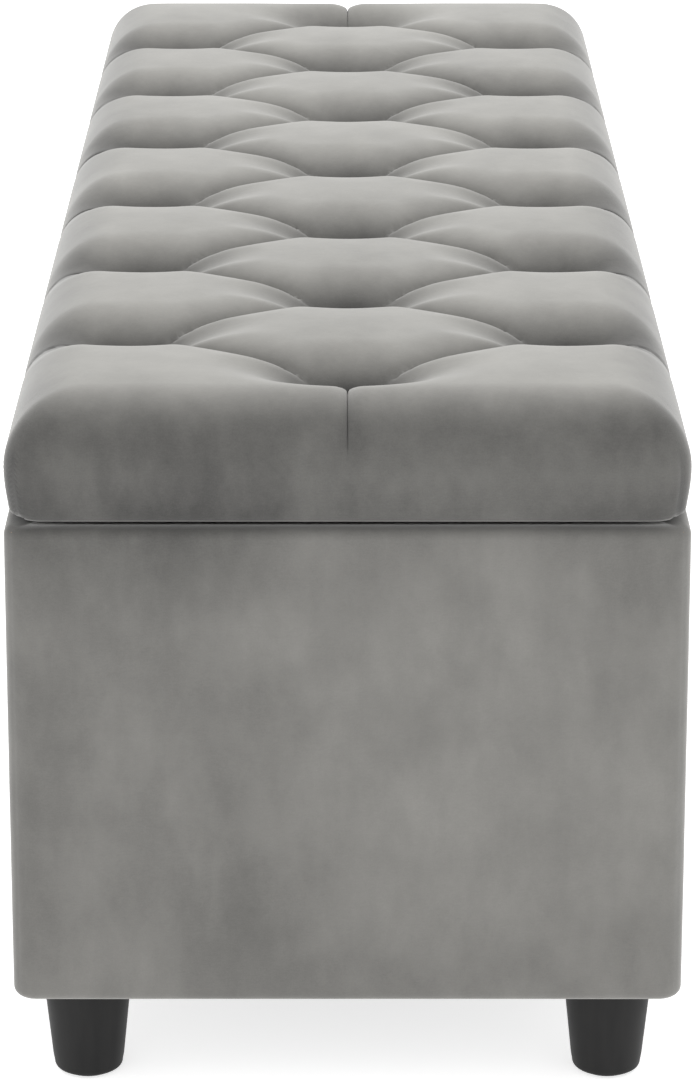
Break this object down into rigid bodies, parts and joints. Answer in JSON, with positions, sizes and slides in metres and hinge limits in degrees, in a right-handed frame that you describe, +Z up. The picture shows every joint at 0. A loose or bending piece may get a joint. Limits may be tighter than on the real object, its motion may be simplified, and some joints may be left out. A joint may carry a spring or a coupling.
{
  "type": "storage bench",
  "caption": "Long upholstered storage bench: a velvet box on tapered round legs, under a deeply tufted lid hinged along its back edge, with stays that hold it open.",
  "frame": {"origin": "on the floor, under the middle of the bench", "axes": "+X along the bench, towards its right end seen from the front; -Y towards the front, where the lid opens; +Y towards the hinges; +Z up"},
  "size_m": [1.3, 0.425, 0.46],
  "materials": {
    "velvet": "light grey velvet with a soft nap",
    "board": "raw particle board",
    "pine": "planed pine",
    "lining": "black non-woven lining",
    "dust_cover": "thin black non-woven sheet",
    "leg_black": "matt black lacquer",
    "steel": "bright zinc plated",
    "glide": "moulded black",
    "foam": "open-cell upholstery foam",
    "rubber": "matt black"
  },
  "bodies": {
    "carcass": {"body_cover_front": "velvet", "body_cover_back": "velvet", "body_cover_left": "velvet", "body_cover_right": "velvet", "front_panel": "board", "back_panel": "board", "end_panel_left": "board", "end_panel_right": "board", "base_panel": "board", "corner_block_front_left": "pine", "corner_block_front_right": "pine", "corner_block_back_left": "pine", "corner_block_back_right": "pine", "interior_lining": "lining", "dust_cover": "dust_cover", "leg_front_left": "leg_black", "leg_front_right": "leg_black", "leg_back_left": "leg_black", "leg_back_right": "leg_black", "leg_bolt_front_left": "steel", "leg_bolt_front_right": "steel", "leg_bolt_back_left": "steel", "leg_bolt_back_right": "steel", "leg_t_nut_front_left": "steel", "leg_t_nut_front_right": "steel", "leg_t_nut_back_left": "steel", "leg_t_nut_back_right": "steel", "hinge_body_leaf_left": "steel", "hinge_body_leaf_middle": "steel", "hinge_body_leaf_right": "steel", "hinge_pin_left": "steel", "hinge_pin_middle": "steel", "hinge_pin_right": "steel", "stay_body_plate_left": "steel", "stay_body_plate_right": "steel", "foot_glide_front_left": "glide", "foot_glide_front_right": "glide", "foot_glide_back_left": "glide", "foot_glide_back_right": "glide"},
    "lid": {"lid_board": "board", "lid_foam": "foam", "lid_cover": "velvet", "lid_lining": "lining", "lid_bumper_left": "rubber", "lid_bumper_right": "rubber", "hinge_lid_leaf_left": "steel", "hinge_lid_leaf_middle": "steel", "hinge_lid_leaf_right": "steel", "stay_lid_bracket_left": "steel", "stay_lid_bracket_right": "steel", "stay_rivet_left": "steel", "stay_rivet_right": "steel"},
    "stay_arm_left": {"stay_arm_left": "steel"},
    "stay_arm_right": {"stay_arm_right": "steel"}
  },
  "joints": [
    {"name": "lid_hinge", "type": "hinge", "parent": "carcass", "child": "lid", "pos_m": [0, 0.208, 0.38075], "axis": [-1, 0, 0], "range_deg": [0, 88]},
    {"name": "stay_left_pivot", "type": "hinge", "parent": "lid", "child": "stay_arm_left", "pos_m": [-0.62, 0.05848, 0.36875], "axis": [-1, 0, 0], "range_deg": [-44, 0]},
    {"name": "stay_right_pivot", "type": "hinge", "parent": "lid", "child": "stay_arm_right", "pos_m": [0.62, 0.05848, 0.36875], "axis": [-1, 0, 0], "range_deg": [-44, 0]}
  ],
  "couplings": [
    {"joint": "stay_left_pivot", "follows": "lid_hinge", "ratio": -0.5},
    {"joint": "stay_right_pivot", "follows": "lid_hinge", "ratio": -0.5}
  ]
}
